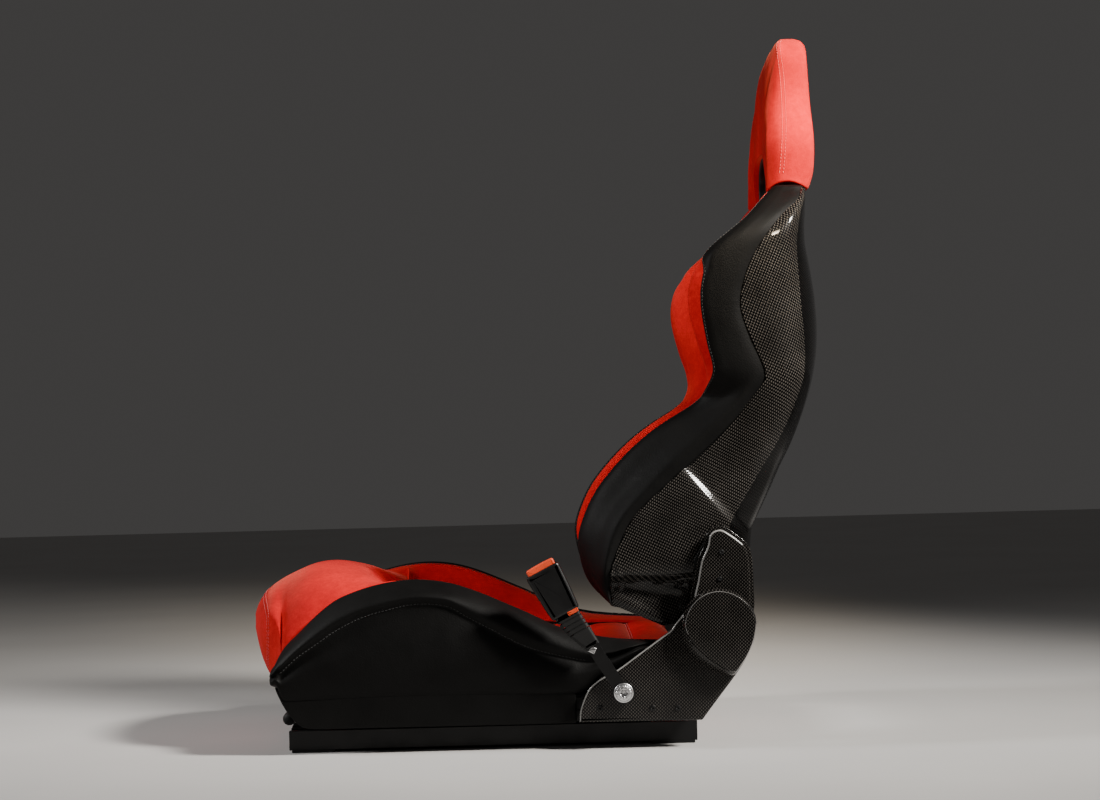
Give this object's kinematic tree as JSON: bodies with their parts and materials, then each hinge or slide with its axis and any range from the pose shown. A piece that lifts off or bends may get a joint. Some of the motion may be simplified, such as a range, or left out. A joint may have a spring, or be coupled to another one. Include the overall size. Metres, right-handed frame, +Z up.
{
  "type": "racing seat",
  "caption": "Reclining bucket seat with deep side bolsters, integral headrest with a harness opening, carbon back shell, floor rails and a belt buckle.",
  "frame": {"origin": "centre of the four floor bolts at the underside of the rails", "axes": "+Z up, the sitter faces -Y, +X is the sitter's left side, where the belt buckle is"},
  "size_m": [0.5855, 0.7445, 0.899],
  "materials": {
    "rail_black": "satin",
    "frame_black": "satin",
    "bright_steel": "satin",
    "black_plastic": "matte",
    "black_rubber": "matte",
    "carbon_fibre": "clear coated weave",
    "red_suede": "napped",
    "black_leather": "soft grain",
    "button_red": "satin"
  },
  "bodies": {
    "floor_rails": {"lower_rail_left": "rail_black", "lower_rail_right": "rail_black", "rail_feet": "rail_black", "rail_end_stops": "black_plastic"},
    "seat_base": {"upper_rail_left": "rail_black", "upper_rail_right": "rail_black", "rail_rollers": "bright_steel", "cross_tube_front": "frame_black", "cross_tube_rear": "frame_black", "side_plate_left": "frame_black", "side_plate_right": "frame_black", "frame_bolts": "bright_steel", "latch_pins": "bright_steel", "recliner_lower_left": "bright_steel", "recliner_lower_right": "bright_steel", "cushion_pan": "frame_black", "cushion_center": "red_suede", "cushion_front": "red_suede", "cushion_bolster_left": "black_leather", "cushion_bolster_right": "black_leather", "lower_cover_left": "carbon_fibre", "lower_cover_right": "carbon_fibre", "lower_cover_screws": "frame_black", "buckle_bush": "bright_steel", "buckle_bolt": "bright_steel", "buckle_bolt_nut": "bright_steel"},
    "slide_release": {"slide_release_bar": "frame_black", "slide_release_grip": "black_rubber"},
    "backrest": {"back_shell": "carbon_fibre", "recliner_upper_left": "bright_steel", "recliner_upper_right": "bright_steel", "arm_plate_left": "frame_black", "arm_plate_right": "frame_black", "arm_bolts": "bright_steel", "arm_cover_left": "carbon_fibre", "arm_cover_right": "carbon_fibre", "arm_cover_screws": "frame_black", "headrest_pad": "red_suede", "headrest_panel": "carbon_fibre", "harness_bezel": "black_plastic", "shoulder_pad_left": "black_leather", "shoulder_pad_right": "black_leather", "back_center_pad": "red_suede", "lumbar_pad": "red_suede", "wing_bolster_left": "black_leather", "wing_bolster_right": "black_leather", "lower_bolster_left": "black_leather", "lower_bolster_right": "black_leather"},
    "recline_release": {"sync_shaft": "bright_steel", "recline_lever": "frame_black", "recline_lever_grip": "black_rubber"},
    "buckle_stalk": {"buckle_strap": "bright_steel", "buckle_boot": "black_rubber", "buckle_case_outer": "black_plastic", "buckle_case_inner": "black_plastic", "buckle_latch": "bright_steel"},
    "buckle_press": {"buckle_button": "button_red"}
  },
  "joints": [
    {"name": "seat_slide", "type": "slide", "parent": "floor_rails", "child": "seat_base", "axis": [0, 1, 0], "range_m": [-0.09, 0.05]},
    {"name": "backrest_recline", "type": "hinge", "parent": "seat_base", "child": "backrest", "pos_m": [0, 0.281, 0.148], "axis": [1, 0, 0], "range_deg": [-28, 10]},
    {"name": "slide_release_lift", "type": "hinge", "parent": "seat_base", "child": "slide_release", "pos_m": [0, -0.095, 0.038], "axis": [-1, 0, 0], "range_deg": [0, 5], "stiffness_Nm_per_rad": 8, "springref_deg": -14.32},
    {"name": "recline_lever_lift", "type": "hinge", "parent": "seat_base", "child": "recline_release", "pos_m": [0, 0.281, 0.148], "axis": [-1, 0, 0], "range_deg": [0, 25], "stiffness_Nm_per_rad": 3, "springref_deg": -22.92},
    {"name": "buckle_swing", "type": "hinge", "parent": "seat_base", "child": "buckle_stalk", "pos_m": [0.2755, 0.162, 0.07], "axis": [1, 0, 0], "range_deg": [-25, 20]},
    {"name": "buckle_press", "type": "slide", "parent": "buckle_stalk", "child": "buckle_press", "axis": [0, 0.4586, -0.8886], "range_m": [0, 0.004], "stiffness_N_per_m": 800, "springref_m": -0.004}
  ]
}
